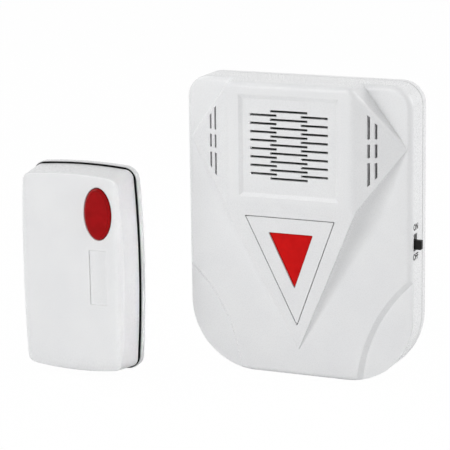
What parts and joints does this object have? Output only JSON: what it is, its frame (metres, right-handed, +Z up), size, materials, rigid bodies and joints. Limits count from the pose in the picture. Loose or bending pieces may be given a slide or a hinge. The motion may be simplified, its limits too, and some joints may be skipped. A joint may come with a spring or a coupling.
{
  "type": "wireless doorbell",
  "caption": "Wireless doorbell set: a battery chime with a shield-shaped front, speaker grille and red signal lens, and a slim push button unit with an oval red button.",
  "frame": {"origin": "middle of the set's width and depth, on the surface that both units stand on", "axes": "+X from the push button unit to the chime, +Y from the fronts to the backs, +Z up; the fronts face -Y"},
  "size_m": [0.1666, 0.0536, 0.125],
  "materials": {
    "white_case": "smooth glossy white moulding",
    "red_lens": "clear red plastic over the signal lights",
    "red_button": "deep red gloss",
    "black_rubber": "soft black seal",
    "black_metal": "black pressed steel",
    "speaker_paper": "dark speaker cone",
    "zinc_steel": "zinc plated steel",
    "spring_steel": "nickel plated spring steel",
    "circuit_board": "green lacquered board",
    "potting": "black resin",
    "led_plastic": "tinted clear resin",
    "switch_steel": "pressed steel can",
    "black_plastic": "plain black plastic",
    "cell_wrap": "plain wrapped steel can",
    "resonator_can": "bright metal can",
    "coil_copper": "wound coil in resin"
  },
  "bodies": {
    "chime": {"chime_front_cover": "white_case", "chime_rear_cover": "white_case", "lens_panel": "white_case", "signal_lens": "red_lens", "speaker_basket": "black_metal", "speaker_cone": "speaker_paper", "speaker_magnet": "zinc_steel", "speaker_screws": "zinc_steel", "chime_board": "circuit_board", "chime_board_screws": "zinc_steel", "signal_leds": "led_plastic", "receiver_module": "circuit_board", "melody_chip": "potting", "switch_body": "switch_steel", "aa_cell_1": "cell_wrap", "aa_cell_2": "cell_wrap", "cell_springs": "spring_steel", "cell_plates": "spring_steel", "case_screws": "zinc_steel"},
    "battery_door": {"battery_door": "white_case"},
    "switch_knob": {"switch_knob": "black_plastic"},
    "bell": {"bell_front_cover": "white_case", "bell_gasket": "black_rubber", "tact_switch": "black_plastic", "bell_board": "circuit_board", "bell_board_screws": "zinc_steel", "bell_cell": "cell_wrap", "bell_cell_plate": "spring_steel", "bell_cell_spring": "spring_steel", "resonator": "resonator_can", "tuning_coil": "coil_copper", "encoder_chip": "potting"},
    "bell_back": {"bell_rear_cover": "white_case"},
    "push_button": {"push_button": "red_button", "tact_plunger": "black_plastic"}
  },
  "joints": [
    {"name": "battery_door_pull", "type": "slide", "parent": "chime", "child": "battery_door", "axis": [0, 1, 0], "range_m": [0, 0.025]},
    {"name": "volume_switch", "type": "slide", "parent": "chime", "child": "switch_knob", "axis": [0, 0, 1], "range_m": [0, 0.002]},
    {"name": "bell_lift", "type": "slide", "parent": "chime", "child": "bell", "axis": [0, 0, 1], "range_m": [0, 0.1]},
    {"name": "bell_back_pull", "type": "slide", "parent": "bell", "child": "bell_back", "axis": [0, 1, 0], "range_m": [0, 0.015]},
    {"name": "button_press", "type": "slide", "parent": "bell", "child": "push_button", "axis": [0, 1, 0], "range_m": [0, 0.0006], "stiffness_N_per_m": 2500}
  ]
}
